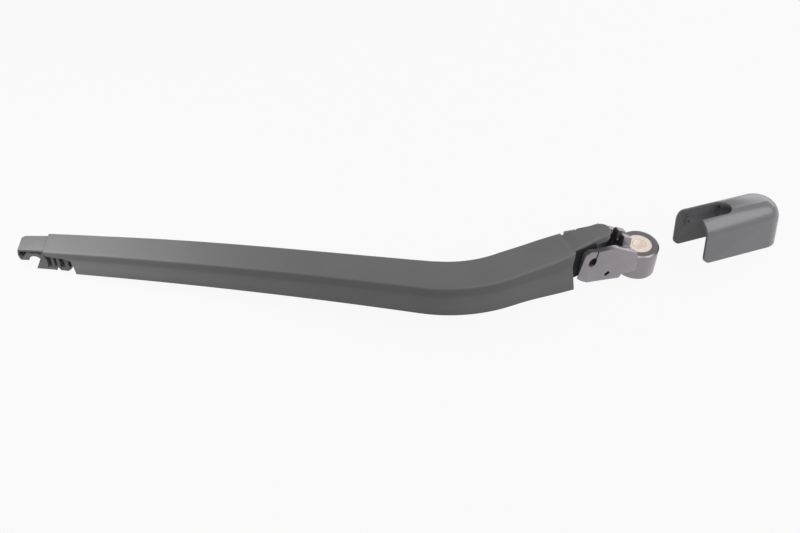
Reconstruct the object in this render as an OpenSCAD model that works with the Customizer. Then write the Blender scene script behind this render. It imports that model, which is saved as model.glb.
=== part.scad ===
// Windscreen wiper arm with a cranked moulded arm, cast head, hinge, tension
// spring and loose nut cap. Millimetres. The origin is the centre of the
// spindle seat under the head, +Z is the spindle axis pointing away from the
// glass, and the arm runs towards -X.

/* [Arm] */
// length of the long segment between the bend and the tip
long_len = 214.5; // [190:0.5:240]
// length of the curved part
bend_len = 44; // [38:1:52]
// distance from the hinge to the start of the bend
root_len = 46.8; // [46:0.1:56]
// angle of the plan view crank
crank_deg = 36.3; // [24:0.1:40]
// gentle bow of the long segment
bow_deg = 5.1; // [2:0.1:9]
// top width beside the bend
arm_w = 19.6; // [18.6:0.1:21]
// loss of width for each millimetre towards the tip
arm_taper = 0.018; // [0.012:0.001:0.019]
// side height beside the bend, before the taper
arm_h = 18.4; // [17.6:0.1:20]
// wall of the moulding
arm_wall = 2.0; // [1.8:0.1:2.2]
// free-state droop of the arm below the head
droop_deg = 6; // [3:0.5:9]

/* [Head] */
// spindle axis to hinge axis
hinge_reach = 39.2; // [38:0.1:44]
// hinge axis above the spindle seat
hinge_z = 23.2; // [22:0.1:25]
// outer width of the head and diameter of its boss
head_w = 22.5; // [22:0.1:23.5]
// height of the boss
boss_h = 15; // [14:0.1:16]
// thickness of each cheek
cheek_t = 3.1; // [2.8:0.1:3.3]
// diameter of the serrated insert
bush_d = 14.4; // [13.6:0.1:15]
// spindle bore
spindle_d = 6.2; // [5.2:0.1:8.2]

/* [Hinge and spring] */
// diameter of the hinge pin
pin_d = 4.3; // [4:0.1:4.6]
// diameter of the two small cross pins
hook_pin_d = 3; // [2.6:0.1:3.2]
// running clearance on the radius of each turning fit
run_fit = 0.05; // [0.03:0.01:0.1]
// wire of the tension spring
wire_d = 1.6; // [1.4:0.1:1.8]
// number of close-wound coils
coils = 19; // [16:1:19]

/* [Cap] */
// outer width of the cap
cap_w = 26.8; // [26.4:0.1:28]
// wall of the cap
cap_t = 1.6; // [1.4:0.1:1.8]
// length from the spindle axis to the open end
cap_len = 46.2; // [45:0.1:48]

/* [Blade clip] */
// radius of the seat for the blade pin
notch_r = 3.2; // [3:0.05:3.4]
// width of the clip block
clip_w = 10; // [9:0.1:10.6]

/* [Hidden] */
$fn = 64;
e = 0.01;
// arm coordinates: origin on the hinge axis, X along the root towards the boss
top_z = 9;
end_x = 8.8;
tip_q = root_len + bend_len + long_len;
rb = bend_len / (crank_deg * PI / 180);
rl = long_len / (bow_deg * PI / 180);
cheek_in = head_w / 2 - cheek_t;
anchor_x = -60;
anchor_z = -2.5;
hook_x = 11.5;
hook_z = -11.6;
ear_gap = 2.6;
ear_side = 0.65;
rib_share = 0.36;

function clampf(v, a, b) = max(a, min(b, v));
// yaw of the centre line at distance q from the hinge
function yaw(q) = q < root_len ? 0
    : q < root_len + bend_len ? crank_deg * (q - root_len) / bend_len
    : crank_deg - bow_deg * (q - root_len - bend_len) / long_len;
function arc_end(a) = [-root_len - rb * sin(a), rb * (1 - cos(a))];
function centre(q) = q < root_len ? [-q, 0]
    : q < root_len + bend_len ? arc_end(yaw(q))
    : arc_end(crank_deg) + rl * [sin(yaw(q)) - sin(crank_deg), cos(yaw(q)) - cos(crank_deg)];
function top_w(q) = arm_w - arm_taper * q - 2 * pow(clampf((28.8 - q) / 20, 0, 1), 2);
function side_h(q) = arm_h - 0.0205 * q + 6 * pow(clampf((48.8 - q) / 40, 0, 1), 1.6);
function flare(q) = 2.9 - 0.006 * q;

// one half of the channel outline, outer skin then inner skin, [across, down]
function half_out(w, h, f) = [
    [w / 4, 0.1],
    [w / 2 - 1.5, 0.35],
    [w / 2 - 0.5, 0.75],
    [w / 2, 1.6],
    [w / 2 + 0.45, 0.42 * h],
    [w / 2 + f - 0.1, 0.93 * h],
    [w / 2 + f, h]];
function half_in(w, h, f, t) = [
    [w / 2 + f - t, h],
    [w / 2 + f - t - 0.1, 0.93 * h],
    [w / 2 + 0.45 - t, 0.42 * h + 0.3],
    [w / 2 - t, t + 2],
    [w / 2 - t - 1.2, t + 0.8],
    [w / 4, t + 0.1]];
function mirror_back(p) = [for (i = [len(p) - 1 : -1 : 0]) [-p[i][0], p[i][1]]];
function ring(w, h, f, t) = concat(
    [[0, 0]], half_out(w, h, f), half_in(w, h, f, t), [[0, t]],
    mirror_back(half_in(w, h, f, t)), mirror_back(half_out(w, h, f)));
function place(q, p) = [
    centre(q)[0] + p[0] * sin(yaw(q)),
    centre(q)[1] + p[0] * cos(yaw(q)),
    top_z - p[1]];

// skin through equal rings, closed at both ends
module skin(rings) {
    n = len(rings[0]);
    m = len(rings);
    pts = [for (r = rings) each r];
    sides = [for (i = [0 : m - 2], j = [0 : n - 1]) each
        [[(i + 1) * n + (j + 1) % n, i * n + (j + 1) % n, i * n + j],
         [(i + 1) * n + j, (i + 1) * n + (j + 1) % n, i * n + j]]];
    close_a = ring_cap(n);
    close_b = [for (t = ring_cap(n)) [for (k = [2 : -1 : 0]) (m - 1) * n + t[k]]];
    polyhedron(pts, concat(sides, close_a, close_b), convexity = 8);
}
// triangles that close one ring: outer points 0 to h, inner points back to the middle
function ring_cap(n) = let (h = n / 4, c = n / 2) [for (k = [0 : h - 2]) each [
    [k, k + 1, c - k - 1], [k, c - k - 1, c - k],
    [(n - k) % n, c + k, c + k + 1], [(n - k) % n, c + k + 1, n - k - 1]],
    [h - 1, h, h + 1], [n - h + 1, n - h - 1, n - h]];

module on_arm() translate([-hinge_reach, 0, hinge_z]) rotate([0, -droop_deg, 0]) children();
module on_hinge() translate([-hinge_reach, 0, hinge_z]) children();
// frame at the clip: X towards the root, origin on the top face near the tip
module on_clip() translate([centre(tip_q - 4.5)[0], centre(tip_q - 4.5)[1], top_z])
    rotate([0, 0, -yaw(tip_q - 4.5)]) children();
module cross(r, len, y = 0) translate([0, y, 0]) rotate([90, 0, 0]) cylinder(r = r, h = len, center = true);
// prism of a side profile [x, z] between two y values
module side_prism(pts, y0, y1) translate([0, y1, 0]) rotate([90, 0, 0]) linear_extrude(y1 - y0) polygon(pts);

step_q = tip_q - 15.5;
stations = concat(
    [for (i = [0 : 5]) end_x + (root_len - end_x) * i / 5],
    [for (i = [1 : 11]) root_len + bend_len * i / 11],
    [for (i = [1 : 9]) root_len + bend_len + (step_q - root_len - bend_len) * i / 9]);

// how far the end face stands back from the top ridge at depth d
function end_back(q, d) = q > end_x ? 0 : min(1.5, 0.3 * d) + 0.02 * d;

module channel() {
    skin([for (q = stations) [for (p = ring(top_w(q), side_h(q), flare(q), arm_wall))
        place(q + end_back(q, p[1]), p)]]);
}

tongue_w = 2 * cheek_in - 5.9;
tongue_x = 11.4;
module tongue() {
    difference() {
        translate([0, 0, top_z - 4]) linear_extrude(4.7) union() {
            polygon([[-end_x - 1.2, -tongue_w / 2 - 1.3], [-2, -tongue_w / 2 - 1.2], [tongue_x - 3, -tongue_w / 2],
                [tongue_x - 3, tongue_w / 2], [-2, tongue_w / 2 + 1.2], [-end_x - 1.2, tongue_w / 2 + 1.3]]);
            translate([tongue_x, 0]) circle(r = tongue_w / 2);
        }
        // slot that clears the eye of the spring link
        translate([2, 0.6 - ear_gap, top_z - 6]) cube([20, 2 * ear_gap - 1.2, 3.7]);
    }
}

ear_w = cheek_in - ear_side - ear_gap;
module ears() {
    for (s = [-1, 1]) {
        translate([0, s * (ear_gap + ear_w / 2), 0]) {
            cross(5.8, ear_w);
            translate([-15.5, -ear_w / 2, 0]) cube([19, ear_w, top_z - 1.3]);
            translate([-15.5, -ear_w / 2, -4]) cube([15.5, ear_w, 5]);
        }
    }
}

module inner_ribs() {
    for (q = [112 : 26 : 268]) {
        translate([centre(q)[0], centre(q)[1], 0]) rotate([0, 0, -yaw(q)])
            translate([-0.7, 1.1 - top_w(q) / 2, top_z - rib_share * side_h(q)])
                cube([1.4, top_w(q) - 2.2, rib_share * side_h(q) - 1.3]);
    }
}

module anchor_blocks() {
    for (s = [-1, 1]) {
        translate([anchor_x - 3.5, 1.25 + s * 6.4 - 2.2, anchor_z - 3.2])
            cube([6.2, 4.4, top_z - anchor_z + 3.2 - 1]);
    }
}

clip_profile = [[-4.6, -1.4], [-3.1, -8.4], [-2.4, -9], [0.7, -9], [7.2, -8.6], [4.6, -15], [13.6, -15.2],
    [14.8, -15.5], [15.8, -13.2], [17, -15.3], [21, -15.6], [22.8, -13.9], [24, -11.8], [24.6, -1.4]];
pocket_a = [[8.9, -6.3], [12.6, -7.8], [13.4, -14], [10.4, -14], [10.7, -11.3], [9.8, -8.7]];
pocket_b = [[13.7, -7.8], [15.6, -7.9], [16, -12.2], [15.1, -13.2], [14.3, -12.6]];
pocket_c = [[16.8, -7.9], [19.1, -7.9], [19.9, -14], [17.7, -14.2]];
pocket_d = [[20.8, -8.6], [22.8, -9.2], [23.4, -11.8], [22.2, -13.6], [21.5, -13.6]];
pocket_e = [[-3.6, -2.6], [-0.4, -2.6], [-2.1, -8]];
pocket_f = [[1.6, -2.6], [8, -2.6], [9, -4.8], [6.6, -4.6], [3.9, -4.4]];

module clip() {
    difference() {
        union() {
            translate([-4.7, -5.8, -2.8]) cube([16.7, 11.6, 2]);
            side_prism(clip_profile, -clip_w / 2, clip_w / 2);
        }
        translate([3.95, 0, -9.1]) cross(notch_r, clip_w + 4);
        side_prism([[0.8, -9], [7.1, -8.9], [4.4, -16], [0.8, -16]], -clip_w, clip_w);
        for (s = [-1, 1]) for (p = [pocket_a, pocket_b, pocket_c, pocket_d, pocket_e, pocket_f]) {
            translate([0, s * (clip_w / 2 - 1), 0]) side_prism(p, -1.4, 1.4);
        }
    }
}

module arm_body() {
    difference() {
        union() {
            channel();
            tongue();
            ears();
            inner_ribs();
            anchor_blocks();
        }
        cross(pin_d / 2 + run_fit, head_w);
        translate([anchor_x, 0, anchor_z]) cross(hook_pin_d / 2, 16.2, 1.25);
        on_clip() side_prism([[0, -5.2], [22.5, -7.2], [26.8, -15], [28, -20], [0, -20]], -14, 14);
    }
}
// the long moulding: channel, tongue, hinge ears, spring blocks and blade clip
module arm_shell() {
    color("#4b4c4e") on_arm() {
        arm_body();
        on_clip() clip();
    }
}

cheek_profile = [[-44.8, 10.8], [-44.8, 29.4], [-41.5, 31.1], [-36.7, 29.8], [-32.4, 29.3], [-28.4, 29.1],
    [-24.6, 28.5], [-10, 20.7], [-8.4, 14.6], [-8.4, 7.3], [-17.6, 7.7], [-18.7, 5.6], [-37.9, 8.9], [-42.5, 9.6]];
skirt = 1.1;
rim = 0.8;
wall_h = 7;
lug_profile = [[-16.8, 14], [-16.8, 27.3], [-15.4, 28.3], [-10.2, 25.4], [-10.2, 14]];

module boss() {
    translate([0, 0, -skirt]) cylinder(r = head_w / 2, h = boss_h + skirt - rim);
    translate([0, 0, boss_h - rim]) cylinder(r1 = head_w / 2, r2 = head_w / 2 - rim, h = rim);
}

module cheeks() {
    difference() {
        side_prism(cheek_profile, -head_w / 2, head_w / 2);
        translate([-70, -cheek_in, -1]) cube([70 - 16, 2 * cheek_in, 60]);
        // slope from the top of the wall down to the boss
        side_prism([[-8.4, boss_h], [-11.8, boss_h + wall_h], [-30, boss_h + wall_h], [-30, 60], [9, 60], [9, boss_h]],
            -cheek_in, cheek_in);
        // the far cheek is lower, behind the tongue
        side_prism([[-50, 28.9], [-38, 28], [-27.5, 27.2], [-23, 27.3], [-20, 60], [-50, 60]], cheek_in - 1, head_w);
    }
}

module head_casting() {
    color("#8c8791") difference() {
        union() {
            boss();
            cheeks();
            for (s = [-1, 1]) side_prism(lug_profile, s * 2.9 - 1.6, s * 2.9 + 1.6);
        }
        cylinder(r = bush_d / 2, h = boss_h * 3, center = true);
        on_hinge() cross(pin_d / 2, head_w + 4);
        on_hinge() translate([hook_x, 0, hook_z]) cross(hook_pin_d / 2, head_w - 2);
        for (s = [-1, 1]) {
            // angled front corner of each cheek, wide at the bottom and nothing at the top
            translate([-44.8, s * head_w / 2, 29.4]) rotate([0, 7.4, s * 124.4]) translate([0, -30, -30]) cube([20, 60, 60]);
            // groove that leads the cap's clip boss into the hinge hole
            side_prism([[-38.9, 21.8], [-37, 31], [-36.2, 31], [-37.1, 22.6]],
                s * (head_w / 2 + 0.2) - 0.9, s * (head_w / 2 + 0.2) + 0.9);
            // slanted witness slot over the end of the hook pin
            on_hinge() translate([hook_x, s * head_w / 2, hook_z]) rotate([0, -35, 0]) {
                cube([3.1, 2.2, 1.9], center = true);
            }
        }
    }
}

pilot_r = spindle_d / 2 + 1.7;
pilot_h = 2.5;
taper_h = 6.5;
taper_r = pilot_r - 0.3;
taper_drop = 1.0;
serrations = 28;
// pale insert that grips the spindle: pilot, serrated taper, stud hole and nut seat
module spindle_bush() {
    color("#e3d3b4") difference() {
        cylinder(r = bush_d / 2, h = boss_h - 0.3);
        cylinder(r = spindle_d / 2, h = boss_h * 3, center = true);
        translate([0, 0, -e]) cylinder(r = pilot_r, h = pilot_h + e);
        translate([0, 0, pilot_h - e]) cylinder(r1 = taper_r, r2 = taper_r - taper_drop, h = taper_h + e);
        for (i = [0 : serrations - 1]) rotate([0, 0, i * 360 / serrations])
            translate([taper_r - taper_drop / 2, 0, pilot_h + taper_h / 2])
                rotate([0, -atan(taper_drop / taper_h), 0]) rotate([0, 0, 45])
                    cube([0.4, 0.4, taper_h - 1], center = true);
        translate([0, 0, boss_h - 0.8]) difference() {
            cylinder(r = 3.9, h = 1);
            cylinder(r = 3.5, h = 3, center = true);
        }
    }
}

module hinge_pin() {
    color("#a9abad") on_hinge() cross(pin_d / 2, head_w - 3);
}
module spring_hook_pin() {
    color("#a9abad") on_hinge() translate([hook_x, 0, hook_z]) cross(hook_pin_d / 2, head_w - 2.6);
}
module anchor_pin() {
    color("#a9abad") on_arm() translate([anchor_x, 0, anchor_z]) cross(hook_pin_d / 2, 15.8, 1.25);
}

// line from the hook pin to the anchor pin, in hinge coordinates
anchor_r = [anchor_x * cos(droop_deg) - anchor_z * sin(droop_deg), anchor_x * sin(droop_deg) + anchor_z * cos(droop_deg)];
pull = [anchor_r[0] - hook_x, anchor_r[1] - hook_z];
pull_len = norm(pull);
pull_deg = atan2(pull[1], -pull[0]);
module on_pull() on_hinge() translate([hook_x, 0, hook_z]) rotate([0, pull_deg, 0]) mirror([1, 0, 0]) children();
eye_x = 31.5;
link_path = [[1.75, -1.75], [4, -3.8], [7, -5.1], [10, -5.5], [18, -5.5], [22, -4.4], [25.5, -2], [eye_x - 2.1, -0.1]];
link_t = 2.2;
// unit normal of the path at point i
function link_n(i) = let (a = link_path[max(i - 1, 0)], b = link_path[min(i + 1, len(link_path) - 1)])
    [a[1] - b[1], b[0] - a[0]] / norm(b - a);
function link_side(d) = [for (i = [0 : len(link_path) - 1]) link_path[i] + d * link_n(i)];
function reversed(v) = [for (i = [len(v) - 1 : -1 : 0]) v[i]];

// flat goose-neck hook that passes under the hinge pin
module spring_link() {
    color("#6c6e70") on_pull() rotate([90, 0, 0]) linear_extrude(3, center = true) difference() {
        union() {
            circle(r = 3.4);
            translate([eye_x, 0]) circle(r = 2.9);
            polygon(concat(link_side(-link_t / 2), reversed(link_side(link_t / 2))));
        }
        circle(r = hook_pin_d / 2 + run_fit);
        translate([eye_x, 0]) circle(r = 1.4);
    }
}

spring_r = 3.3;
spring_pitch = wire_d - 0.1;
front_loop_r = 3;
spring_x0 = eye_x + 2 * front_loop_r + 0.5;
spring_x1 = spring_x0 + coils * spring_pitch;
rear_loop_r = hook_pin_d / 2 + run_fit + wire_d / 2;
// straight wire between two points of the pull plane, given as [along, up]
module wire(a, b, r) {
    translate([a[0], 0, a[1]]) rotate([0, -atan2(b[1] - a[1], b[0] - a[0]), 0])
        rotate([0, 90, 0]) cylinder(r = r, h = norm(b - a));
}

// close-wound tension spring with an end loop at each end
module tension_spring() {
    color("#7d7f82") on_pull() {
        translate([spring_x0, 0, 0]) rotate([0, 90, 0]) rotate_extrude()
            for (i = [0 : coils]) translate([spring_r, i * spring_pitch]) circle(r = wire_d / 2);
        translate([eye_x + front_loop_r, 0, 0]) rotate_extrude() translate([front_loop_r, 0]) circle(r = 0.7);
        wire([eye_x + 2 * front_loop_r - 0.2, 0], [spring_x0 + 0.1, spring_r], 0.55);
        translate([pull_len, 0, 0]) rotate([90, 0, 0]) rotate_extrude() translate([rear_loop_r, 0]) circle(r = wire_d / 2);
        wire([spring_x1 - 0.1, spring_r], [pull_len - rear_loop_r + 0.1, 0.3], 0.6);
    }
}

cap_z = 9.5;
cap_h = 25.2;
cap_r = 10.4;
crown_r = 60;
notch_w = 14.7;
// section of the cap across its length, inset by d on every outer face
module cap_section(d) {
    w = cap_w - 2 * d;
    h = cap_h - d;
    r = cap_r - d;
    intersection() {
        union() {
            translate([-w / 2, -1]) square([w, h - r + 1]);
            translate([r - w / 2, -1]) square([w - 2 * r, h + 1]);
            for (s = [-1, 1]) translate([s * (w / 2 - r), h - r]) circle(r = r);
        }
        translate([0, h - crown_r]) circle(r = crown_r, $fn = 180);
    }
}
// closed body of the cap: straight, then turned about the spindle axis
module cap_body(d) {
    translate([-80, 0, 0]) rotate([90, 0, 90]) linear_extrude(80) cap_section(d);
    rotate([0, 0, -90]) rotate_extrude(angle = 180, $fn = 120) intersection() {
        cap_section(d);
        translate([0, -2]) square([40, 60]);
    }
}

// the fitted shape of the cap, its mouth towards the arm
module cap_fitted() {
    difference() {
        cap_body(0);
        translate([0, 0, -0.2]) cap_body(cap_t);
        translate([0, 0, -50]) cube([200, 200, 100], center = true);
        translate([-100 - cap_len, 0, 0]) cube([200, 200, 200], center = true);
        translate([-80, -notch_w / 2, 12]) cube([80 - 28.6, notch_w, 40]);
        translate([-28.6, 0, 12]) cylinder(r = notch_w / 2, h = 40);
        for (s = [-1, 1]) translate([-cap_len, s * cap_w / 2, 0]) rotate([90, 0, 0]) difference() {
            translate([-2, -2, -3]) cube([6, 6, 6]);
            translate([4, 4, -4]) cylinder(r = 4, h = 8);
        }
    }
    for (s = [-1, 1]) {
        // hollow clip boss for the recess outside the hinge pin
        translate([-hinge_reach, s * (cap_w / 2 - cap_t - 0.6), hinge_z - cap_z]) rotate([90, 0, 0]) difference() {
            cylinder(r = pin_d / 2 - 0.15, h = 1.8, center = true);
            cylinder(r = 0.9, h = 3, center = true);
        }
        // short stiffening rib beside the notch
        translate([-18, s * (cap_w / 2 - cap_t) - (s > 0 ? 2 : 0), 12.5]) cube([1.1, 2, 6]);
    }
}

// loose cap, shown taken off beside the head
module nut_cap() {
    color("#6d6e71") translate([71.2, -10.5, 5.2]) rotate([-13.4, 5.3, 2.3]) cap_fitted();
}

arm_shell();
head_casting();
spindle_bush();
hinge_pin();
spring_hook_pin();
anchor_pin();
spring_link();
tension_spring();
nut_cap();
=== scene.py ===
"""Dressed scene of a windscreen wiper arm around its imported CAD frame."""

import logging
import math
from dataclasses import dataclass, field
from enum import Enum
from typing import Callable, Iterable, Sequence

import bmesh
import bpy
from mathutils import Matrix, Vector


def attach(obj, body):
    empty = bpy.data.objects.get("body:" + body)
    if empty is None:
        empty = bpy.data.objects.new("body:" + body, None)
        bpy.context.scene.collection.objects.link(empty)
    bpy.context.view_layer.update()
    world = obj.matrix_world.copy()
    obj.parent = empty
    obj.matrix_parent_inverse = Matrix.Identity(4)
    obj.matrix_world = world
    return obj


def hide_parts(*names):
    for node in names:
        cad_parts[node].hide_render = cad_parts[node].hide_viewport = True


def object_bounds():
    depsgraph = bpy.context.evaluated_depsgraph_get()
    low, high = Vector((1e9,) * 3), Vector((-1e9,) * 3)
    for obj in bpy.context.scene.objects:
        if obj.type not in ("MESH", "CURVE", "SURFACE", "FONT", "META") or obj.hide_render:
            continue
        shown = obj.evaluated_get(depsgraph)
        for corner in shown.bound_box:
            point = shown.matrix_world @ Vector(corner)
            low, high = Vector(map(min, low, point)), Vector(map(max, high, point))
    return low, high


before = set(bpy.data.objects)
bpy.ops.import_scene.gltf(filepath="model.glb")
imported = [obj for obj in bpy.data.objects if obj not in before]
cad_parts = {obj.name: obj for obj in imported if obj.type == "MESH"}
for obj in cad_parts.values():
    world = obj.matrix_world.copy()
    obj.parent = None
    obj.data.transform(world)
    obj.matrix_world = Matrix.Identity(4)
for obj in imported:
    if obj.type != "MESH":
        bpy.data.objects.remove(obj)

LOG = logging.getLogger("wiper_arm")
CAD_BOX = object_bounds()
MM = 0.001
Point = Sequence[float]


class Body(Enum):
    """The CAD bodies that pieces ride on."""

    HEAD = "head"
    ARM = "arm"


class Socket:
    """A node's output on which Python arithmetic builds Math nodes."""

    def __init__(self, bench: "Bench", output: bpy.types.NodeSocket) -> None:
        """Keeps the output and the bench that its nodes stand on."""
        self.bench = bench
        self.output = output

    def _math(self, operation: str, a: object, b: object = 0.0) -> "Socket":
        """Returns a Math node of two values."""
        return self.bench.node("ShaderNodeMath", {"operation": operation}, {0: a, 1: b})

    def __add__(self, other: object) -> "Socket":
        """self + other."""
        return self._math("ADD", self, other)

    __radd__ = __add__

    def __sub__(self, other: object) -> "Socket":
        """self - other."""
        return self._math("SUBTRACT", self, other)

    def __rsub__(self, other: object) -> "Socket":
        """other - self."""
        return self._math("SUBTRACT", other, self)

    def __mul__(self, other: object) -> "Socket":
        """self * other."""
        return self._math("MULTIPLY", self, other)

    __rmul__ = __mul__

    def over(self, edge: float, width: float) -> "Socket":
        """Returns 0 below an edge and 1 above it, soft over a width."""
        return ((self - edge) * (1.0 / width) + 0.5).clamp()

    def above(self, floor: float) -> "Socket":
        """Returns the value, or the floor where it is lower."""
        return self._math("MAXIMUM", self, floor)

    def root(self) -> "Socket":
        """Returns the square root."""
        return self._math("SQRT", self)

    def size(self) -> "Socket":
        """Returns the value without its sign."""
        return self._math("ABSOLUTE", self)

    def clamp(self) -> "Socket":
        """Returns the value held between 0 and 1."""
        return self.bench.node("ShaderNodeClamp", {}, {"Value": self})

    def at(self, name: str) -> "Socket":
        """Returns another output of the same node."""
        return Socket(self.bench, self.output.node.outputs[name])


class Bench:
    """A material's node tree and the one method that puts nodes on it."""

    def __init__(self, name: str, store: object = None) -> None:
        """Makes an empty node material.

        Args:
            name: The material's name.
            store: Where it is kept, or None for the materials.
        """
        self.material = (bpy.data.materials if store is None else store).new(name)
        self.material.use_nodes = True
        self.tree = self.material.node_tree
        self.tree.nodes.clear()

    def node(self, kind: str, settings: dict, values: dict, output: object = 0) -> Socket:
        """Puts one node on the bench.

        Args:
            kind: The node's type.
            settings: The node's own settings.
            values: The value or link of each socket, by name or number.
            output: The name or number of the output to return.

        Returns:
            The wanted output as a Socket.
        """
        node = self.tree.nodes.new(kind)
        for key, value in settings.items():
            setattr(node, key, value)
        for key, value in values.items():
            if isinstance(value, Socket):
                self.tree.links.new(value.output, node.inputs[key])
            else:
                node.inputs[key].default_value = value
        return Socket(self, node.outputs[output] if len(node.outputs) else None)

    def place(self) -> Socket:
        """Returns the object coordinates."""
        return self.node("ShaderNodeTexCoord", {}, {}, "Object")

    def axes(self) -> tuple[Socket, Socket, Socket]:
        """Returns the object coordinates as three values, in metres."""
        split = self.node("ShaderNodeSeparateXYZ", {}, {0: self.place()})
        return split, split.at("Y"), split.at("Z")

    def noise(self, size: float, detail: float = 2.0, rough: float = 0.5) -> Socket:
        """Returns noise whose blobs are about size metres across."""
        return self.node("ShaderNodeTexNoise", {}, {
            "Vector": self.place(), "Scale": 1.0 / size, "Detail": detail, "Roughness": rough})

    def mix(self, amount: object, a: object, b: object) -> Socket:
        """Returns a colour between a and b."""
        return self.node("ShaderNodeMix", {"data_type": "RGBA"}, {0: amount, 6: a, 7: b}, 2)

    def bump(self, height: Socket, strength: float, distance: float) -> Socket:
        """Returns the normal of a bumped surface."""
        return self.node("ShaderNodeBump", {}, {
            "Height": height, "Strength": strength, "Distance": distance})

    def surface(self, values: dict) -> bpy.types.Material:
        """Closes the material with a Principled shader.

        Args:
            values: The shader's values and links by socket name.

        Returns:
            The finished material.
        """
        shader = self.node("ShaderNodeBsdfPrincipled", {}, values)
        self.node("ShaderNodeOutputMaterial", {}, {"Surface": shader})
        return self.material


def rgba(red: float, green: float, blue: float) -> tuple[float, float, float, float]:
    """Returns an opaque colour."""
    return (red, green, blue, 1.0)


def in_mm(points: Iterable[Point]) -> tuple:
    """Returns points given in millimetres as points in metres."""
    return tuple(tuple(value * MM for value in point) for point in points)


def side_prism(name: str, profile: Iterable[Point], low: float, high: float) -> "Hand":
    """Returns a prism of a side profile between two y values.

    Args:
        name: The piece's name.
        profile: The corners as (x, z), in millimetres.
        low: The first y value, in metres.
        high: The second y value, in metres.
    """
    return Hand(name).outline([(x, low, z) for x, z in in_mm(profile)], (0.0, high - low, 0.0))


def scaled(colour: Sequence[float], factor: float) -> tuple[float, float, float, float]:
    """Returns a colour made lighter or darker."""
    return rgba(*(min(1.0, c * factor) for c in colour[:3]))


@dataclass(frozen=True)
class GrainedPlastic:
    """Moulded plastic with a spark-eroded grain."""

    name: str = "arm_plastic"
    colour: tuple = rgba(0.150, 0.150, 0.152)
    roughness: float = 0.62
    gloss: float = 0.35
    grain: float = 0.00055
    relief: float = 0.00009

    def make(self) -> bpy.types.Material:
        """Returns the material."""
        bench = Bench(self.name)
        broad = bench.noise(0.030, 3.0)
        fine = bench.noise(self.grain, 3.0, 0.6)
        tone = (0.62 * broad + 0.38 * fine).clamp()
        colour = bench.mix(tone, scaled(self.colour, 0.82), scaled(self.colour, 1.2))
        rough = self.roughness + 0.10 * (bench.noise(0.012, 2.0) - 0.5)
        return bench.surface({
            "Base Color": colour, "Roughness": rough, "Specular IOR Level": self.gloss,
            "Normal": bench.bump(fine, 0.35, self.relief)})


@dataclass(frozen=True)
class SatinCasting:
    """Coated die casting, smooth and glossy, with painted shade in the hinge bay and its holes and a
    painted shadow of the tongue on the cheeks' tops.
    """

    name: str = "head_metal"
    colour: tuple = rgba(0.31, 0.282, 0.305)
    shade_colour: tuple = rgba(0.012, 0.012, 0.013)
    roughness: float = 0.30
    metallic: float = 0.7
    bay_end: float = -15.7 * MM
    bay_half: float = 8.2 * MM
    holes: tuple = ((-39.2 * MM, 23.2 * MM, 2.95 * MM), (-27.7 * MM, 11.6 * MM, 2.1 * MM))
    cheek: float = 11.15 * MM
    cheek_top: float = 28.6 * MM
    tongue_end: float = -27.5 * MM

    def make(self) -> bpy.types.Material:
        """Returns the material."""
        bench = Bench(self.name)
        x, y, z = bench.axes()
        broad = bench.noise(0.006, 3.0)
        fine = bench.noise(0.0009, 2.0)
        across = y.size()
        # Painted shade: the hinge bay between the cheeks is darkened.
        bay = (1.0 - x.over(self.bay_end, 0.4 * MM)) * (1.0 - across.over(self.bay_half, 0.3 * MM))
        # Painted shadow of the tongue on the cheeks' tops, under its nose.
        under = (1.0 - x.over(self.tongue_end, 6.0 * MM)) * z.over(self.cheek_top, 0.5 * MM)
        under = under * (1.0 - across.over(self.cheek, 0.1 * MM))
        painted_shade = bay + 0.8 * under
        # Painted shade in the hinge-pin recesses and the hook slots.
        for along, up, radius in self.holes:
            a, c = x - along, z - up
            near = 1.0 - (a * a + c * c).over(radius ** 2, radius * 0.2 * MM)
            painted_shade = painted_shade + near * (1.0 - across.over(self.cheek, 0.1 * MM))
        painted_shade = painted_shade.clamp()
        # The casting's own colour where no painted shade falls.
        unshaded = bench.mix(broad, scaled(self.colour, 0.90), scaled(self.colour, 1.10))
        rough = self.roughness + 0.14 * (fine - 0.5) + 0.45 * painted_shade
        return bench.surface({
            "Base Color": bench.mix(painted_shade, unshaded, self.shade_colour), "Roughness": rough,
            "Metallic": self.metallic * (1.0 - painted_shade),
            "Normal": bench.bump(0.6 * broad + 0.4 * fine, 0.12, 0.0001)})


@dataclass(frozen=True)
class PaleInsert:
    """Pale spindle insert, with painted light inside its bore: a paler colour and a faint painted glow."""

    name: str = "insert_pale"
    colour: tuple = rgba(0.90, 0.80, 0.68)
    # Painted light: the bore's paler colour and its faint emission glow.
    inside: tuple = rgba(0.97, 0.92, 0.88)
    painted_glow: tuple = rgba(0.11, 0.085, 0.07)
    bore: float = 3.3 * MM
    roughness: float = 0.5

    def make(self) -> bpy.types.Material:
        """Returns the material."""
        bench = Bench(self.name)
        x, y, _ = bench.axes()
        inner = 1.0 - (x * x + y * y).over(self.bore ** 2, 0.6 * MM * self.bore)
        broad = bench.noise(0.004, 3.0)
        fine = bench.noise(0.0004, 2.0)
        face = bench.mix(broad, scaled(self.colour, 0.93), scaled(self.colour, 1.05))
        return bench.surface({
            # Painted light: the bore is made paler and glows faintly.
            "Base Color": bench.mix(inner, face, self.inside),
            "Roughness": self.roughness + 0.2 * (fine - 0.5), "Emission Strength": 1.0,
            "Emission Color": bench.mix(inner, rgba(0.0, 0.0, 0.0), self.painted_glow),
            "Normal": bench.bump(fine, 0.15, 0.00004)})


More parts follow.
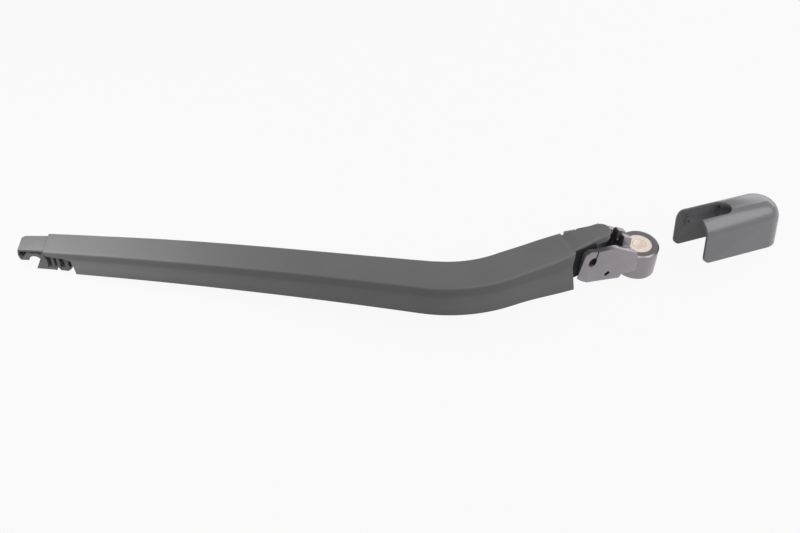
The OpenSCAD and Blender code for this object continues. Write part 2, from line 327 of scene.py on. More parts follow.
@dataclass(frozen=True)
class BrushedSteel:
    """Turned or drawn steel with fine lines."""

    name: str = "pin_steel"
    colour: tuple = rgba(0.42, 0.42, 0.43)
    roughness: float = 0.35
    metallic: float = 1.0

    def make(self) -> bpy.types.Material:
        """Returns the material."""
        bench = Bench(self.name)
        broad = bench.noise(0.003, 3.0)
        fine = bench.noise(0.0003, 2.0)
        colour = bench.mix(broad, scaled(self.colour, 0.8), scaled(self.colour, 1.1))
        return bench.surface({
            "Base Color": colour, "Roughness": self.roughness + 0.2 * (fine - 0.5),
            "Metallic": self.metallic, "Normal": bench.bump(fine, 0.15, 0.00003)})


@dataclass(frozen=True)
class SatinPlastic:
    """Semi-gloss moulded plastic of the nut cap, matt inside, with painted shade darkening its inner skin.
    """

    name: str = "cap_plastic"
    colour: tuple = rgba(0.195, 0.191, 0.202)
    roughness: float = 0.24
    place: tuple = (71.2 * MM, -10.5 * MM, 5.2 * MM)
    turn: tuple = (-13.4, 5.3, 2.3)
    flat: float = 3.0 * MM
    spring: float = 14.8 * MM
    middle: float = 9.5 * MM

    def inside(self, bench: Bench) -> Socket:
        """Returns 1 on the cap's inner skin and 0 on its outer skin."""
        fitted = bench.node("ShaderNodeMapping", {"vector_type": "TEXTURE"}, {
            "Vector": bench.place(), "Location": self.place,
            "Rotation": [math.radians(angle) for angle in self.turn]})
        x = bench.node("ShaderNodeSeparateXYZ", {}, {0: fitted})
        y, z, ahead = x.at("Y"), x.at("Z"), x.above(0.0)
        across = ((ahead * ahead + y * y).root() - self.flat).above(0.0)
        up = (z - self.spring).above(0.0)
        return 1.0 - (across * across + up * up).root().over(self.middle, 0.4 * MM)

    def make(self) -> bpy.types.Material:
        """Returns the material."""
        bench = Bench(self.name)
        broad = bench.noise(0.02, 3.0)
        fine = bench.noise(0.0006, 2.0)
        inner = self.inside(bench)
        skin = bench.mix(broad, scaled(self.colour, 0.93), scaled(self.colour, 1.07))
        return bench.surface({
            # Painted shade: the inner skin is darkened to 0.6 of the colour.
            "Base Color": bench.mix(inner, skin, scaled(self.colour, 0.60)),
            "Roughness": self.roughness + 0.12 * (fine - 0.5) + 0.3 * inner,
            "Normal": bench.bump(fine, 0.10, 0.00005)})


@dataclass
class Studio:
    """Camera, floor and soft lamps that stand as in the photograph."""

    image_width: float = 800.0
    focal_pixels: float = 1555.0
    sensor: float = 36.0
    plan_yaw: float = 27.0
    plan_tilt: float = 6.0
    elevation: float = 45.0
    distance: float = 0.800
    plan_origin: tuple = (0.12938, 0.0436, -0.04136)
    ambient: float = 0.26
    floor_gap: float = 0.8 * MM
    floor_size: float = 8.0
    paper: tuple = rgba(0.32, 0.32, 0.32)
    white: tuple = rgba(1.0, 1.0, 1.0)
    paper_glow: float = 0.93
    lamps: tuple = (
        ("key_lamp", (-0.40, -0.55, 0.92), (-0.1, 0.05, 0.0), (0.7, 0.7), 3.3),
        ("right_lamp", (0.66, -0.50, 0.92), (0.05, 0.0, 0.0), (1.3, 0.9), 10.5),
        ("rim_lamp", (0.80, 0.82, 0.22), (0.0, 0.0, 0.0), (1.7, 0.30), 3.6),
        ("tip_lamp", (-0.335, 0.115, 0.10), (-0.305, 0.13, 0.0), (0.09, 0.09), 0.17))

    def turn(self) -> Matrix:
        """Returns the rotation from the photograph's plan frame to the row frame."""
        psi, theta = math.radians(self.plan_yaw), math.radians(self.plan_tilt)
        x = Vector((math.cos(theta) * math.cos(psi), math.cos(theta) * math.sin(psi), -math.sin(theta)))
        y = Vector((-math.sin(psi), math.cos(psi), 0.0))
        z = x.cross(y)
        return Matrix((x, y, z))

    def camera(self) -> None:
        """Makes the camera and makes it the scene's own."""
        e = math.radians(self.elevation)
        back = Vector((0.0, -math.cos(e), math.sin(e)))
        up = Vector((0.0, math.sin(e), math.cos(e)))
        turn = self.turn()
        axes = [turn @ v for v in (Vector((1.0, 0.0, 0.0)), up, back)]
        place = turn @ (self.distance * back - Vector(self.plan_origin))
        lens = bpy.data.cameras.new("photo_camera")
        lens.sensor_width = self.sensor
        lens.lens = self.focal_pixels / self.image_width * self.sensor
        lens.clip_start, lens.clip_end = 0.01, 50.0
        camera = bpy.data.objects.new("photo_camera", lens)
        bpy.context.scene.collection.objects.link(camera)
        rotation = Matrix(axes).transposed().to_4x4()
        camera.matrix_world = Matrix.Translation(place) @ rotation
        bpy.context.scene.camera = camera

    def lamp(self, name: str, place: Point, target: Point, size: Point, power: float) -> None:
        """Hangs one soft lamp.

        Args:
            name: The lamp's name.
            place: Where it hangs, in metres.
            target: The point that it faces.
            size: Its width and height, in metres.
            power: Its power in watts.
        """
        data = bpy.data.lights.new(name, "AREA")
        data.shape, data.energy = "RECTANGLE", power
        data.size, data.size_y = size
        obj = bpy.data.objects.new(name, data)
        obj.location = place
        obj.rotation_mode = "QUATERNION"
        obj.rotation_quaternion = (Vector(target) - Vector(place)).to_track_quat("-Z", "Y")
        obj.visible_camera = False
        bpy.context.scene.collection.objects.link(obj)

    def world(self) -> None:
        """Makes an even pale world that the camera and clear surfaces see as white."""
        bench = Bench("studio", bpy.data.worlds)
        bpy.context.scene.world = bench.material
        path = bench.node("ShaderNodeLightPath", {}, {}, "Is Camera Ray")
        seen = (path + path.at("Is Transmission Ray")).clamp()
        plain = bench.node("ShaderNodeBackground", {}, {"Color": self.white, "Strength": self.ambient})
        white = bench.node("ShaderNodeBackground", {}, {"Color": self.white, "Strength": 1.0})
        mixed = bench.node("ShaderNodeMixShader", {}, {0: seen, 1: plain, 2: white})
        bench.node("ShaderNodeOutputWorld", {}, {"Surface": mixed})

    def floor(self) -> None:
        """Lays the plain pale floor under the object."""
        low = CAD_BOX[0].z - self.floor_gap
        bpy.ops.object.select_all(action="DESELECT")
        bpy.ops.mesh.primitive_plane_add(size=self.floor_size, location=(0.0, 0.0, low))
        floor = bpy.context.active_object
        floor.name = "studio_floor"
        bench = Bench("floor_paper")
        path = bench.node("ShaderNodeLightPath", {}, {}, "Is Camera Ray")
        path = path + path.at("Is Glossy Ray") + path.at("Is Transmission Ray")
        paper = bench.node("ShaderNodeBsdfDiffuse", {}, {"Color": self.paper})
        bright = bench.node("ShaderNodeEmission", {}, {"Color": self.white, "Strength": 1.0})
        shown = bench.node("ShaderNodeMixShader", {}, {
            0: path.clamp() * self.paper_glow, 1: paper, 2: bright})
        bench.node("ShaderNodeOutputMaterial", {}, {"Surface": shown})
        floor.data.materials.append(bench.material)

    def build(self) -> None:
        """Sets the whole studio up."""
        bpy.context.scene.view_settings.view_transform = "Standard"
        self.camera()
        self.world()
        self.floor()
        for lamp in self.lamps:
            self.lamp(*lamp)


class Hand:
    """One mesh, shaped step by step with Blender's own operators."""

    def __init__(self, name: str) -> None:
        """Keeps the name that the piece will have."""
        self.name = name
        self.obj: bpy.types.Object | None = None

    @staticmethod
    def rest() -> None:
        """Leaves edit mode and deselects everything."""
        active = bpy.context.view_layer.objects.active
        if active is not None and active.mode != "OBJECT":
            bpy.ops.object.mode_set(mode="OBJECT")
        bpy.ops.object.select_all(action="DESELECT")

    def _take(self) -> "Hand":
        """Takes the new primitive as this piece's mesh and puts its place in it."""
        self.obj = bpy.context.active_object
        self.obj.name = self.name
        bpy.ops.object.transform_apply(location=True, rotation=True, scale=True)
        return self

    def cube(self, low: Point, high: Point) -> "Hand":
        """Adds a box between two corners."""
        self.rest()
        middle = [(a + b) / 2 for a, b in zip(low, high)]
        bpy.ops.mesh.primitive_cube_add(size=1.0, location=middle)
        bpy.context.active_object.scale = [b - a for a, b in zip(low, high)]
        return self._take()

    def cylinder(self, centre: Point, radius: float, depth: float, axis: str = "Z",
                 sides: int = 64) -> "Hand":
        """Adds a cylinder about an axis through its centre."""
        self.rest()
        turn = {"X": (0, math.pi / 2, 0), "Y": (math.pi / 2, 0, 0), "Z": (0, 0, 0)}[axis]
        bpy.ops.mesh.primitive_cylinder_add(
            vertices=sides, radius=radius, depth=depth, location=centre, rotation=turn)
        return self._take()

    def outline(self, points: Sequence[Point], shift: Point) -> "Hand":
        """Bends a circle's corners onto an outline, fills it and extrudes it.

        Args:
            points: The outline's corners in space, in order.
            shift: The way and distance of the extrusion.
        """
        self.rest()
        bpy.ops.mesh.primitive_circle_add(vertices=len(points), radius=0.01)
        self._take()
        self.edit("VERT")
        mesh = bmesh.from_edit_mesh(self.obj.data)
        mesh.verts.ensure_lookup_table()
        for index, point in enumerate(points):
            self._only(mesh, mesh.verts[index])
            step = Vector(point) - mesh.verts[index].co
            bpy.ops.transform.translate(value=step)
            mesh = bmesh.from_edit_mesh(self.obj.data)
            mesh.verts.ensure_lookup_table()
        bpy.ops.mesh.select_all(action="SELECT")
        bpy.ops.mesh.edge_face_add()
        bpy.ops.mesh.extrude_region_move(TRANSFORM_OT_translate={"value": shift})
        return self.outward()

    @staticmethod
    def _only(mesh: bmesh.types.BMesh, vert: bmesh.types.BMVert) -> None:
        """Selects one vertex and nothing else."""
        for other in mesh.verts:
            other.select_set(other is vert)
        mesh.select_flush_mode()

    def edit(self, mode: str) -> "Hand":
        """Goes to edit mode, to pick VERT, EDGE or FACE."""
        if self.obj.mode != "EDIT":
            self.rest()
            self.obj.select_set(True)
            bpy.context.view_layer.objects.active = self.obj
            bpy.ops.object.mode_set(mode="EDIT")
        bpy.ops.mesh.select_mode(type=mode)
        return self

    def pick(self, mode: str, test: Callable) -> "Hand":
        """Selects the vertices, edges or faces that pass a test.

        Args:
            mode: VERT, EDGE or FACE.
            test: Takes the element and says whether it is selected.
        """
        self.edit(mode)
        bpy.ops.mesh.select_all(action="DESELECT")
        mesh = bmesh.from_edit_mesh(self.obj.data)
        for element in {"VERT": mesh.verts, "EDGE": mesh.edges, "FACE": mesh.faces}[mode]:
            if test(element):
                element.select_set(True)
        mesh.select_flush_mode()
        bmesh.update_edit_mesh(self.obj.data)
        return self

    def move(self, shift: Point) -> "Hand":
        """Moves what is selected."""
        bpy.ops.transform.translate(value=shift)
        return self

    def resize(self, factors: Point, centre: Point) -> "Hand":
        """Resizes what is selected about a point."""
        bpy.ops.transform.resize(value=factors, center_override=centre)
        return self

    def bevel(self, width: float, segments: int = 3, profile: float = 0.5) -> "Hand":
        """Bevels the selected edges."""
        bpy.ops.mesh.bevel(offset=width, segments=segments, profile=profile, affect="EDGES")
        return self

    def remove(self, kind: str = "FACE") -> "Hand":
        """Deletes what is selected."""
        bpy.ops.mesh.delete(type=kind)
        return self

    def cut(self, point: Point, normal: Point) -> "Hand":
        """Cuts new edges through the whole mesh where a plane meets it."""
        self.edit("VERT")
        bpy.ops.mesh.select_all(action="SELECT")
        bpy.ops.mesh.bisect(plane_co=point, plane_no=normal)
        return self

    def outward(self) -> "Hand":
        """Merges doubles and turns the faces outwards."""
        self.edit("FACE")
        bpy.ops.mesh.select_all(action="SELECT")
        bpy.ops.mesh.remove_doubles(threshold=0.000002)
        bpy.ops.mesh.normals_make_consistent(inside=False)
        self.rest()
        return self

    def modifier(self, kind: str, **settings: object) -> "Hand":
        """Adds a modifier, sets it and applies it."""
        self.rest()
        self.obj.select_set(True)
        bpy.context.view_layer.objects.active = self.obj
        modifier = self.obj.modifiers.new(kind.lower(), kind)
        for key, value in settings.items():
            setattr(modifier, key, value)
        bpy.ops.object.modifier_apply(modifier=modifier.name)
        return self

    def boolean(self, other: "Hand", operation: str = "DIFFERENCE") -> "Hand":
        """Cuts, joins or meets this mesh with another, which goes."""
        other.rest()
        self.modifier("BOOLEAN", operation=operation, object=other.obj, solver="EXACT")
        bpy.data.objects.remove(other.obj)
        return self

    def join(self, others: Iterable["Hand"]) -> "Hand":
        """Joins other meshes to this one as they are."""
        self.rest()
        for other in others:
            other.obj.select_set(True)
        self.obj.select_set(True)
        bpy.context.view_layer.objects.active = self.obj
        bpy.ops.object.join()
        return self

    def place(self, matrix: Matrix) -> "Hand":
        """Puts the mesh in a frame and keeps the object at the origin."""
        self.rest()
        self.obj.select_set(True)
        bpy.context.view_layer.objects.active = self.obj
        self.obj.matrix_world = matrix
        bpy.ops.object.transform_apply(location=True, rotation=True, scale=True)
        return self

    def smooth(self, angle: float = 35.0) -> "Hand":
        """Shades the mesh smooth up to an angle in degrees."""
        self.rest()
        self.obj.select_set(True)
        bpy.context.view_layer.objects.active = self.obj
        bpy.ops.object.shade_smooth_by_angle(angle=math.radians(angle))
        return self

    @classmethod
    def of_node(cls, node: str, name: str) -> "Hand":
        """Returns a merged copy of a CAD node, with its flat faces made whole."""
        cls.rest()
        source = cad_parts[node]
        source.select_set(True)
        bpy.context.view_layer.objects.active = source
        bpy.ops.object.duplicate()
        hand = cls(name)
        hand.obj = bpy.context.active_object
        hand.obj.name = name
        hand.obj.parent = None
        hand.edit("VERT")
        bpy.ops.mesh.select_all(action="SELECT")
        bpy.ops.mesh.remove_doubles(threshold=0.000004)
        bpy.ops.mesh.dissolve_limited(angle_limit=math.radians(0.6))
        hand.rest()
        return hand


@dataclass(frozen=True)
class ArmLine:
    """The plan line of the arm: straight, arc, then a gentle bow back. Metres and degrees."""

    root: float = 46.8 * MM
    bend: float = 44.0 * MM
    long: float = 214.5 * MM
    crank: float = 36.3
    bow: float = 5.1
    hinge: tuple = (-39.2 * MM, 0.0, 23.2 * MM)
    droop: float = 6.0
    top: float = 9.0 * MM

    def yaw(self, q: float) -> float:
        """Returns the turn at a distance along the line, in degrees."""
        if q < self.root:
            return 0.0
        if q < self.root + self.bend:
            return self.crank * (q - self.root) / self.bend
        return self.crank - self.bow * (q - self.root - self.bend) / self.long

    def at(self, q: float) -> tuple[float, float]:
        """Returns the point at a distance along the line, in the arm's plan."""
        if q < self.root:
            return (-q, 0.0)
        turn = min(self.yaw(q), self.crank) if q < self.root + self.bend else self.crank
        radius = self.bend / math.radians(self.crank)
        a = math.radians(turn)
        x, y = -self.root - radius * math.sin(a), radius * (1 - math.cos(a))
        if q > self.root + self.bend:
            far = self.long / math.radians(self.bow)
            b, c = math.radians(self.yaw(q)), math.radians(self.crank)
            x += far * (math.sin(b) - math.sin(c))
            y += far * (math.cos(b) - math.cos(c))
        return (x, y)

    def frame(self) -> Matrix:
        """Returns the arm's frame, with its origin on the hinge axis."""
        turn = Matrix.Rotation(math.radians(-self.droop), 4, "Y")
        return Matrix.Translation(self.hinge) @ turn

    def station(self, q: float) -> Matrix:
        """Returns the frame on the top face at q, X back towards the root."""
        x, y = self.at(q)
        turn = Matrix.Rotation(math.radians(-self.yaw(q)), 4, "Z")
        return self.frame() @ Matrix.Translation((x, y, self.top)) @ turn


@dataclass
class ArmMoulding:
    """The long cranked moulding with its tongue, ears, ribs and blade clip.

    The swell, the profiles, the plate, the windows and the ears' corners are in millimetres.
    """

    line: ArmLine = field(default_factory=ArmLine)
    start: float = 9.0 * MM
    clip_step: float = 291.5 * MM
    tip: float = 305.3 * MM
    width: float = 19.6 * MM
    taper: float = 0.018
    height: float = 18.4 * MM
    drop: float = 0.0205
    wall: float = 2.0 * MM
    crown: tuple = (0.10 * MM, 0.35 * MM)
    crease: float = 0.42
    side_cut: float = 0.72
    side_out: tuple = ((0.3, 0.5, -0.35 * MM), (0.6, 0.8, 1.5 * MM), (0.9, 1.1, 3.2 * MM))
    top_round: float = 1.7 * MM
    crease_round: float = 1.2 * MM
    near: float = 0.02 * MM
    edge_round: float = 0.3 * MM
    pinch: tuple = (28.8 * MM, 20 * MM, 2 * MM)
    rise: tuple = (48.8 * MM, 40 * MM, 6 * MM)
    pin_bore: float = 2.2 * MM
    ear_radius: float = 5.8
    ear_back: tuple = ((-15.5, 7.9), (-15.5, -7.0), (-12.5, -10.6), (-6.5, -10.6), (-5.0, -8.6))
    ear_top: tuple = (4.4, 7.9)
    ear_walls: tuple = (2.6 * MM, 7.5 * MM)
    rib_half: float = 0.7 * MM
    rib_inset: float = 1.2 * MM
    rib_top: float = -1.4 * MM
    rib_first: float = 112 * MM
    rib_pitch: float = 26 * MM
    rib_count: int = 7
    rib_share: float = 0.36
    block_middle: float = 1.25 * MM
    block_out: float = 6.4 * MM
    block_half: float = 2.2 * MM
    block_span: tuple = (-63.5 * MM, -57.3 * MM)
    block_rise: tuple = (-5.7 * MM, 8.0 * MM)
    anchor: tuple = (-60 * MM, -2.5 * MM)
    anchor_bore: float = 1.5 * MM
    clip_back: float = 4.5 * MM
    clip_faces: tuple = (-5.0 * MM, 4.2 * MM)
    clip_core: tuple = (-1.2 * MM, 1.0 * MM)
    seat: tuple = (3.35 * MM, -9.1 * MM)
    seat_radius: float = 3.2 * MM
    plate_low: float = -2.0 * MM
    plate_thick: float = 1.2 * MM
    swell: tuple = ((9, 0.6), (28, 0.8), (36, 1.2), (44, 1.7), (60, 2.1), (76, 2.5), (84, 2.7),
                    (92, 2.5), (100, 2.2), (124, 1.7), (148, 1.45), (212, 1.35), (236, 1.1), (260, 0.6),
                    (292, 0.2))
    gap: tuple = ((0, -0.5), (8.3, -0.5), (9.8, -3.4), (11.5, -3.9), (18.7, -4.6), (23.2, -6.0),
                  (24.8, -9.3), (26.8, -15), (28, -20), (0, -20))
    clip_profile: tuple = (
        (-4.6, -1.4), (-5.1, -2.0), (-5.4, -5.6), (-4.9, -7.6), (-4.2, -9), (0.1, -9), (6.6, -8.6),
        (3.1, -14.8), (13, -15.2), (14.2, -15.5), (15.2, -13.2), (16.4, -15.3), (20.4, -15.6),
        (22.2, -13.9), (23.4, -11.8), (24, -1.4))
    mouth: tuple = ((0.2, -9), (6.5, -8.9), (2.9, -16), (0.2, -16))
    plate: tuple = ((-4.65, -5.8), (12, -5.6), (12, 5.9), (8.4, 5.6), (-2.2, 4.9), (-3.3, 4.6), (-4.1, 3.8))
    windows: tuple = (
        ((-4.4, -2.6), (0, -2.6), (-1.7, -5.7), (-3.4, -8.3), (-4.1, -7.8), (-4.7, -5.6)),
        ((1.1, -2.6), (6.4, -2.6), (7.2, -3.2), (7.7, -4.4), (6.8, -4.9), (5.7, -4.3), (4.7, -3.8),
         (1.2, -4)),
        ((8.2, -5.0), (9.9, -4.6), (11.8, -4.6), (12.6, -14.2), (9.4, -14.2), (9.9, -10.4), (9.3, -7.6)),
        ((13.1, -4.8), (14.4, -4.8), (15, -12.3), (13.6, -13.4)),
        ((16.1, -5.0), (18.4, -5.2), (19.4, -14.2), (16.6, -13.9)),
        ((20.9, -6.2), (22.4, -7.0), (22.6, -11.6), (21.6, -13.4), (20.9, -11.8)))

    def far_swell(self, q: float) -> float:
        """Returns how far the far side stands out beyond the even width at q."""
        marks = in_mm(self.swell)
        for (a, low), (b, high) in zip(marks, marks[1:]):
            if q < b:
                return low + (high - low) * max(0.0, q - a) / (b - a)
        return marks[-1][1]

    def top_width(self, q: float) -> float:
        """Returns the width of the top face at q."""
        end, run, depth = self.pinch
        share = min(1.0, max(0.0, (end - q) / run))
        return self.width - self.taper * q - depth * share ** 2

    def side_height(self, q: float) -> float:
        """Returns the height of the side at q."""
        end, run, depth = self.rise
        share = min(1.0, max(0.0, (end - q) / run))
        return self.height - self.drop * q + depth * share ** 1.6

    def centre_curve(self) -> bpy.types.Object:
        """Makes the curve that bends the straight channel."""
        data = bpy.data.curves.new("arm_line", "CURVE")
        data.dimensions = "2D"
        spline = data.splines.new("POLY")
        steps = 170
        spline.points.add(steps)
        for index, point in enumerate(spline.points):
            x, y = self.line.at(self.tip * index / steps)
            point.co = (x, y, 0.0, 1.0)
        obj = bpy.data.objects.new("arm_line", data)
        bpy.context.scene.collection.objects.link(obj)
        return obj

    def stations(self) -> list[float]:
        """Returns where the channel is cut across, close together in the bend."""
        marks = [self.start + i * 3.0 * MM for i in range(1, 13)]
        marks += [self.line.root + i * 1.6 * MM for i in range(28)]
        first = self.line.root + self.line.bend + 1.5 * MM
        count = 44
        marks += [first + (self.clip_step - first) * i / count for i in range(count)]
        return marks

    def channel(self) -> Hand:
        """Shapes the channel straight, then bends it along the plan line."""
        hand = self._blank()
        marks = self.stations()
        for x in marks:
            hand.cut((x, 0.0, 0.0), (1.0, 0.0, 0.0))
        for x in [self.start] + marks + [self.clip_step]:
            self._shape(hand, x)
        self._slant(hand)
        hand.outward()
        hand.modifier("SOLIDIFY", thickness=self.wall, offset=-1.0, use_even_offset=True)
        hand.modifier("BEVEL", width=self.edge_round, segments=2, limit_method="ANGLE",
                      angle_limit=math.radians(50))
        curve = self.centre_curve()
        hand.modifier("CURVE", object=curve, deform_axis="POS_X")
        bpy.data.objects.remove(curve)
        hand.place(Matrix.Translation((0.0, 0.0, self.line.top)))
        hand.place(self.line.frame())
        gap = side_prism("gap", self.gap, -14 * MM, 14 * MM)
        return hand.boolean(gap.place(self.line.station(self.tip - self.clip_back)))

    def _blank(self) -> Hand:
        """Returns the straight channel with its crown, crease and flared skirt."""
        hand = Hand("arm_channel")
        w, h = self.width, self.height
        hand.cube((self.start, -w / 2, -h), (self.clip_step, w / 2, 0.0))
        hand.pick("FACE", lambda f: f.normal.z < -0.5 or abs(f.normal.x) > 0.5).remove()
        for y in (-w / 4, 0.0, w / 4):
            hand.cut((0.0, y, 0.0), (0.0, 1.0, 0.0))
        for share in (self.crease, self.side_cut):
            hand.cut((0.0, 0.0, -share * h), (0.0, 0.0, 1.0))
        inner, outer = self.crown
        hand.pick("VERT", lambda v: v.co.z > -0.1 * MM and abs(v.co.y) > 0.4 * w)
        hand.move((0.0, 0.0, -outer))
        hand.pick("VERT", lambda v: v.co.z > -0.1 * MM and 0.2 * w < abs(v.co.y) < 0.4 * w)
        hand.move((0.0, 0.0, -inner))
        for side in (-1, 1):
            for low, high, out in self.side_out:
                hand.pick("VERT", lambda v: v.co.y * side > 0 and low * h < -v.co.z < high * h)
                hand.move((0.0, side * out, 0.0))
        hand.pick("EDGE", lambda e: self._lengthwise(e) and all(
            abs(abs(v.co.y) - w / 2) < 0.01 * MM and v.co.z > -1 * MM for v in e.verts))
        hand.bevel(self.top_round, 6, 0.56)
        hand.pick("EDGE", lambda e: self._lengthwise(e) and all(
            0.3 * h < -v.co.z < 0.5 * h for v in e.verts))
        return hand.bevel(self.crease_round, 3)

    @staticmethod
    def _lengthwise(edge: bmesh.types.BMEdge) -> bool:
        """Tells whether an edge runs along the channel."""
        return abs(edge.verts[0].co.x - edge.verts[1].co.x) > 1 * MM

    def _slant(self, hand: Hand) -> None:
        """Slants the channel's open end back below its top."""
        for reach, depth, back in ((0.01, 0.8, 0.7), (0.9, 4.0, 0.8)):
            hand.pick("VERT", lambda v: v.co.x < self.start + reach * MM and v.co.z < -depth * MM)
            hand.move((back * MM, 0.0, 0.0))

    def _shape(self, hand: Hand, x: float) -> None:
        """Gives the channel its own width, height and far side at one station."""
        kw = self.top_width(x) / self.width
        kh = self.side_height(x) / self.height
        hand.pick("VERT", lambda v: abs(v.co.x - x) < self.near)
        hand.resize((1.0, kw, kh), (x, 0.0, 0.0))
        out, edge = self.far_swell(x), self.top_width(x) / 2
        for low, high, share in ((0.2, 0.6, 0.5), (0.6, 2.0, 1.0)):
            hand.pick("VERT", lambda v: abs(v.co.x - x) < self.near
                      and low * edge < -v.co.y < high * edge)
            hand.move((0.0, -share * out, 0.0))

    def tongue(self) -> Hand:
        """Shapes the tongue that covers the hinge and sinks into the arm's top."""
        half, nose, back = 5.2 * MM, 11.4 * MM, -26.0 * MM
        depth, clear, proud = 4.6 * MM, 2.0 * MM, 0.75 * MM
        sink, slope = 0.95 * MM, 0.06 * MM
        points = [(back, -6.0 * MM), *in_mm(((-9, -6.5), (-3, -6.4), (2, -5.9), (6, -5.4)))]
        points += [(nose + half * math.cos(a), half * math.sin(a))
                   for a in (math.radians(-90 + 180 * i / 16) for i in range(17))]
        points += [*in_mm(((6, 5.4), (2, 6.0), (-3, 7.0), (-9, 7.2))), (back, 6.4 * MM)]
        top = self.line.top + proud
        hand = Hand("arm_tongue")
        hand.outline([(x, y, top - depth) for x, y in points], (0.0, 0.0, depth))
        hand.pick("EDGE", lambda e: all(v.co.z > top - 0.1 * MM for v in e.verts)).bevel(1.1 * MM, 4)
        ramp = (-22, -17, -14, -13, -12, -11, -10, -9, -8, -7, -6, -5, -4)
        for x in ramp:
            if x != -9:  # the outline has its own corners there
                hand.cut((x * MM, 0.0, 0.0), (1.0, 0.0, 0.0))
        for x in (-26,) + ramp:
            share = min(1.0, (-3.0 - x) / 8.0)
            fall = sink * share * share * (3 - 2 * share) + slope * max(0, -11 - x)
            hand.pick("VERT", lambda v: v.co.z > top - clear and (
                v.co.x < -24.0 * MM if x == -26 else abs(v.co.x - x * MM) < 0.2 * MM))
            hand.move((0.0, 0.0, -fall))
        hand.outward()
        hand.boolean(Hand("slot").cube(*in_mm(((2, -2, 3), (20, 2, 6.7)))))
        return hand.place(self.line.frame())

    def ears(self) -> Hand:
        """Shapes the two hinge ears under the tongue."""
        parts = []
        profile = list(self.ear_back)
        profile += [(self.ear_radius * math.cos(a), self.ear_radius * math.sin(a))
                    for a in (math.radians(-125 + 165 * i / 18) for i in range(19))]
        profile.append(self.ear_top)
        inner, outer = self.ear_walls
        for side in (-1, 1):
            low = inner if side > 0 else -outer
            ear = side_prism(f"ear_{side}", profile, low, low + outer - inner)
            ear.boolean(Hand("bore").cylinder((0, side * 5 * MM, 0), self.pin_bore, 12 * MM, "Y"))
            parts.append(ear)
        hand = parts[0].join(parts[1:])
        hand.obj.name = "arm_hinge_ears"
        return self._soften(hand, 0.25).place(self.line.frame())

    @staticmethod
    def _soften(hand: Hand, width: float) -> Hand:
        """Rounds a piece's sharp edges by a width in millimetres."""
        return hand.modifier("BEVEL", width=width * MM, segments=2, limit_method="ANGLE",
                             angle_limit=math.radians(40))

    def ribs(self) -> Hand:
        """Shapes the cross ribs along the hollow, each fitted to its place."""
        made = []
        for index in range(self.rib_count):
            q = self.rib_first + self.rib_pitch * index
            half = self.top_width(q) / 2 - self.rib_inset
            depth = self.rib_share * self.side_height(q)
            rib = Hand(f"rib_{index}")
            rib.cube((-self.rib_half, -half, -depth),
                     (self.rib_half, half + self.far_swell(q), self.rib_top))
            rib.pick("EDGE", lambda e: all(v.co.z < -depth + 0.01 * MM for v in e.verts)
                     and abs(e.verts[0].co.y - e.verts[1].co.y) > 1 * MM).bevel(0.3 * MM, 2)
            rib.place(self.line.station(q))
            made.append(rib)
        hand = made[0].join(made[1:])
        hand.obj.name = "arm_ribs"
        return hand

    def spring_blocks(self) -> Hand:
        """Shapes the two blocks that hold the anchor pin."""
        made = []
        (back, front), (low, high) = self.block_span, self.block_rise
        for side in (-1, 1):
            y = self.block_middle + side * self.block_out
            block = Hand(f"block_{side}")
            block.cube((back, y - self.block_half, low), (front, y + self.block_half, high))
            centre = (self.anchor[0], y, self.anchor[1])
            block.boolean(Hand("bore").cylinder(centre, self.anchor_bore, 10 * MM, "Y", 40))
            made.append(block)
        hand = made[0].join(made[1:])
        hand.obj.name = "arm_spring_blocks"
        return self._soften(hand, 0.3).place(self.line.frame())

    def clip(self) -> Hand:
        """Shapes the hooked blade clip at the tip."""
        (near, far), (inner, outer) = self.clip_faces, self.clip_core
        hand = side_prism("blade_clip", self.clip_profile, near, far)
        plate = Hand("plate")
        plate.outline([(x, y, self.plate_low) for x, y in in_mm(self.plate)],
                      (0.0, 0.0, self.plate_thick))
        hand.boolean(plate, "UNION")
        centre = (self.seat[0], 0.0, self.seat[1])
        hand.boolean(Hand("seat").cylinder(centre, self.seat_radius, 16 * MM, "Y", 48))
        hand.boolean(side_prism("mouth", self.mouth, -8 * MM, 8 * MM))
        for window in self.windows:
            for low, high in ((near - 0.5 * MM, inner), (outer, far + 0.5 * MM)):
                hand.boolean(side_prism("pocket", window, low, high))
        return self._soften(hand, 0.16).place(self.line.station(self.tip - self.clip_back))

    def build(self, paints: "Paintbox") -> None:
        """Makes the moulding's pieces, which together stand for the CAD node."""
        for make in (self.channel, self.tongue, self.ears, self.ribs, self.spring_blocks, self.clip):
            hand = make()
            paints.finish(hand.smooth(), "arm_plastic", Body.ARM, ("arm_shell",))
            # The ears get a near-black copy of the plastic: painted shade for the dark gap beside the
            # tongue's nose.
            if make == self.ears:
                paints.dress(hand.obj, "arm_plastic_shade_black")


class CadNode(Enum):
    """The CAD nodes that stay in view and their material slots."""

    HEAD_CASTING = ("head_casting", "head_metal")
    SPINDLE_BUSH = ("spindle_bush", "insert_pale")
    HINGE_PIN = ("hinge_pin", "pin_steel")
    SPRING_HOOK_PIN = ("spring_hook_pin", "pin_steel")
    ANCHOR_PIN = ("anchor_pin", "pin_steel")
    SPRING_LINK = ("spring_link", "link_steel")
    TENSION_SPRING = ("tension_spring", "spring_steel")
    NUT_CAP = ("nut_cap", "cap_plastic")


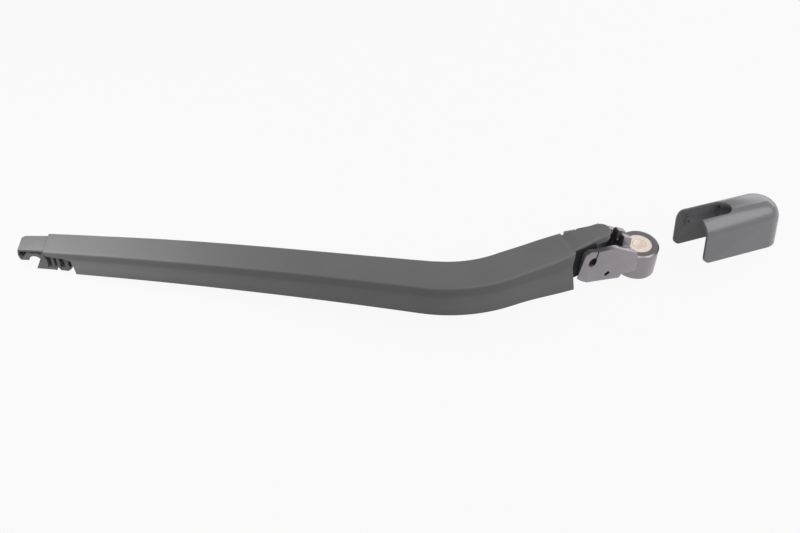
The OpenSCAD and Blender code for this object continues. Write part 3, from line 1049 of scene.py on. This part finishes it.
class Paintbox:
    """The finishes, one material for each slot."""

    def __init__(self) -> None:
        """Makes every material once."""
        self.materials = {
            "arm_plastic": GrainedPlastic().make(),
            # Near-black copy of the arm plastic: painted shade for the hinge ears.
            "arm_plastic_shade_black": GrainedPlastic(
                "arm_plastic_shade_black", rgba(0.012, 0.012, 0.012), roughness=0.8).make(),
            "head_metal": SatinCasting().make(),
            "insert_pale": PaleInsert().make(),
            # Near-black pins: painted shade for the hinge holes and the gap below the arm's end.
            "pin_steel": BrushedSteel(
                "pin_steel", rgba(0.020, 0.020, 0.021), roughness=0.55, metallic=0.6).make(),
            "link_steel": BrushedSteel("link_steel", rgba(0.12, 0.12, 0.12), roughness=0.5).make(),
            "spring_steel": BrushedSteel("spring_steel", rgba(0.10, 0.10, 0.10), roughness=0.45).make(),
            "cap_plastic": SatinPlastic().make(),
        }

    def dress(self, obj: bpy.types.Object, slot: str) -> None:
        """Puts a slot's material on every slot of an object."""
        if not obj.data.materials:
            obj.data.materials.append(self.materials[slot])
        for index in range(len(obj.data.materials)):
            obj.data.materials[index] = self.materials[slot]

    def finish(self, hand: Hand, slot: str, body: Body, nodes: Sequence[str] = ()) -> None:
        """Dresses a new piece and fixes it to its body.

        Args:
            hand: The finished mesh.
            slot: The record's material slot.
            body: The CAD body that carries it.
            nodes: The CAD nodes that it stands for.
        """
        hand.rest()
        self.dress(hand.obj, slot)
        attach(hand.obj, body.value)
        if nodes:
            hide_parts(*nodes)
        LOG.info("%s: %d faces on %s", hand.obj.name, len(hand.obj.data.polygons), body.value)


@dataclass
class Head:
    """The cast head on the spindle."""

    edge: float = 0.3 * MM
    half: float = 11.25 * MM
    hinge: tuple = (-39.2 * MM, 23.2 * MM)
    recess: float = 2.85 * MM
    hook: tuple = (-27.7 * MM, 11.6 * MM)
    slot: tuple = (2.7 * MM, 2.3 * MM)
    deep: float = 2.4 * MM
    squeeze: tuple = (0.86, 1.0, 1.08)
    slant: float = -35.0

    def build(self, paints: Paintbox) -> None:
        """Opens the recesses outside the pins and rounds the casting's edges."""
        hand = Hand.of_node("head_casting", "head_body")
        for side in (-1, 1):
            y = side * self.half
            centre = (self.hinge[0], y, self.hinge[1])
            recess = Hand("recess").cylinder(centre, self.recess, self.deep, "Y", 40)
            hand.boolean(recess.resize(self.squeeze, centre))
            a, c = (value / 2 for value in self.slot)
            slot = Hand("slot").cube((-a, -self.deep / 2, -c), (a, self.deep / 2, c))
            turn = Matrix.Rotation(math.radians(self.slant), 4, "Y")
            hand.boolean(slot.place(Matrix.Translation((self.hook[0], y, self.hook[1])) @ turn))
        hand.modifier("BEVEL", width=self.edge, segments=3, limit_method="ANGLE",
                      angle_limit=math.radians(28), harden_normals=False, use_clamp_overlap=True)
        paints.finish(hand.smooth(40), "head_metal", Body.HEAD, ("head_casting",))


@dataclass
class NutCap:
    """The cap taken off beside the head."""

    edge: float = 0.25 * MM

    def build(self, paints: Paintbox) -> None:
        """Rounds the edges of the cap."""
        hand = Hand.of_node("nut_cap", "cap_shell")
        hand.modifier("BEVEL", width=self.edge, segments=2, limit_method="ANGLE",
                      angle_limit=math.radians(35))
        paints.finish(hand.smooth(30), "cap_plastic", Body.HEAD, ("nut_cap",))


def main() -> None:
    """Builds the scene in order."""
    logging.basicConfig(level=logging.INFO, format="%(message)s")
    Studio().build()
    paints = Paintbox()
    for node in CadNode:
        name, slot = node.value
        paints.dress(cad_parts[name], slot)
        LOG.info("dressed %s", name)
    ArmMoulding().build(paints)
    Head().build(paints)
    NutCap().build(paints)


if __name__ == "__main__":
    main()
